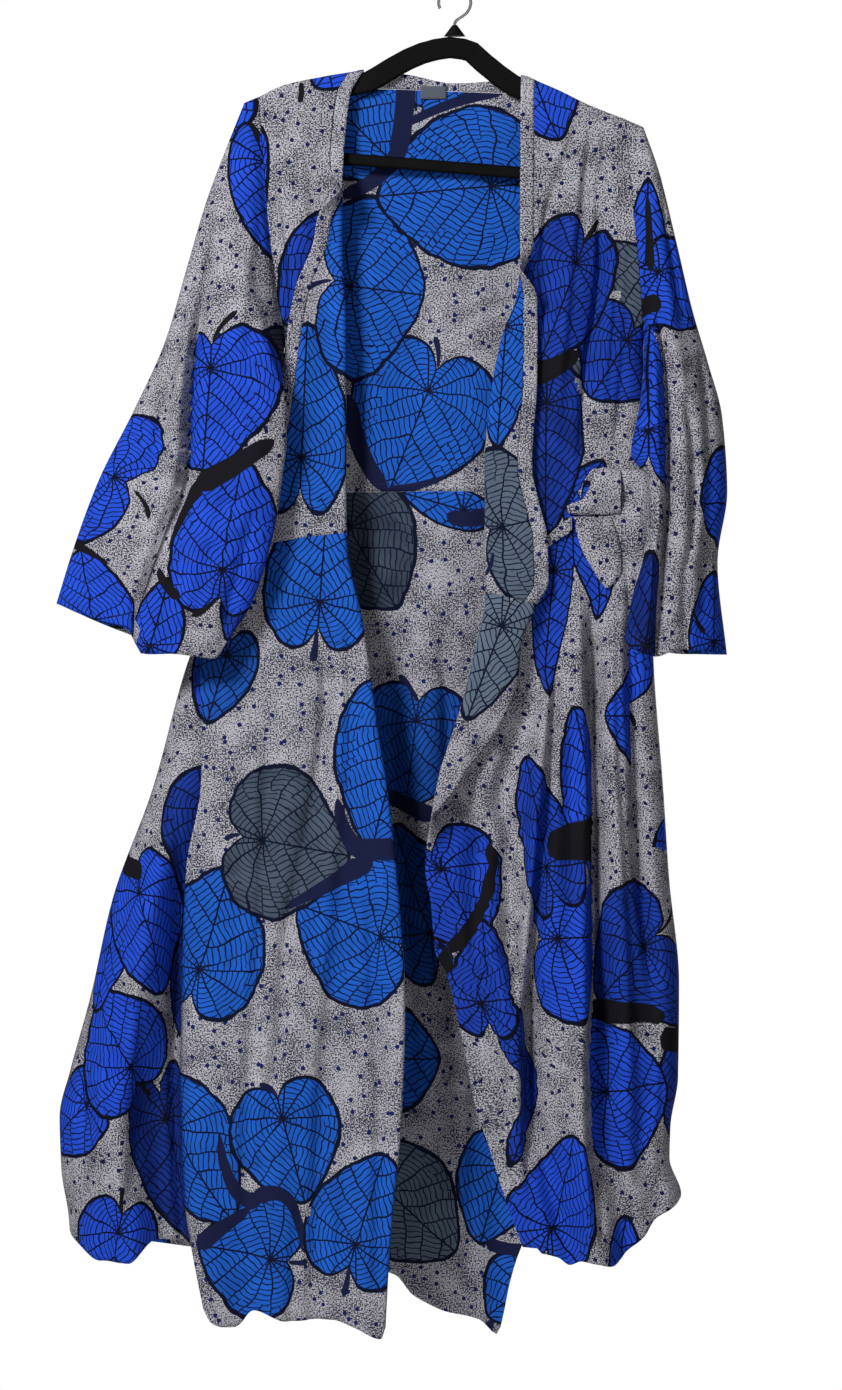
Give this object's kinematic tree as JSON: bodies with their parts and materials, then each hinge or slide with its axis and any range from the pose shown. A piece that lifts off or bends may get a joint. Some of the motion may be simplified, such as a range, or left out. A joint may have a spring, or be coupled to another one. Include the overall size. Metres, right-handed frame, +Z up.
{
  "type": "wrap dress",
  "caption": "Open-fronted maxi wrap dress in leaf-print cotton on a flat hanger with a trouser bar; long wide sleeves, waist tie and full skirt.",
  "frame": {"origin": "inside top of the hanger's hook, where it rests on a rail", "axes": "+X is the viewer's right in the picture, +Y points away from the viewer, through the dress from its front to its back, and +Z is up"},
  "size_m": [0.7388, 0.1566, 1.5088],
  "materials": {
    "print_cotton": "matt printed cotton, paler and more azure on its inside",
    "band_cotton": "matt cotton, the print's speckled grey ground",
    "tie_cotton": "matt printed cotton",
    "label_tape": "blank woven tape",
    "hanger_plastic": "black, low sheen",
    "hook_steel": "plain steel wire"
  },
  "bodies": {
    "root": {"back_bodice": "print_cotton", "back_skirt": "print_cotton", "left_front_bodice": "print_cotton", "left_front_skirt": "print_cotton", "right_front_bodice": "print_cotton", "right_front_skirt": "print_cotton", "left_sleeve": "print_cotton", "right_sleeve": "print_cotton", "back_neck_band": "band_cotton", "left_front_band": "band_cotton", "right_front_band": "band_cotton", "tie_knot": "tie_cotton", "tie_band": "tie_cotton", "tie_short_tail": "tie_cotton", "tie_long_tail": "tie_cotton", "neck_label": "label_tape", "hanger_arms": "hanger_plastic", "hanger_bar": "hanger_plastic", "hanger_neck": "hanger_plastic", "hanger_hook": "hook_steel"}
  },
  "joints": []
}
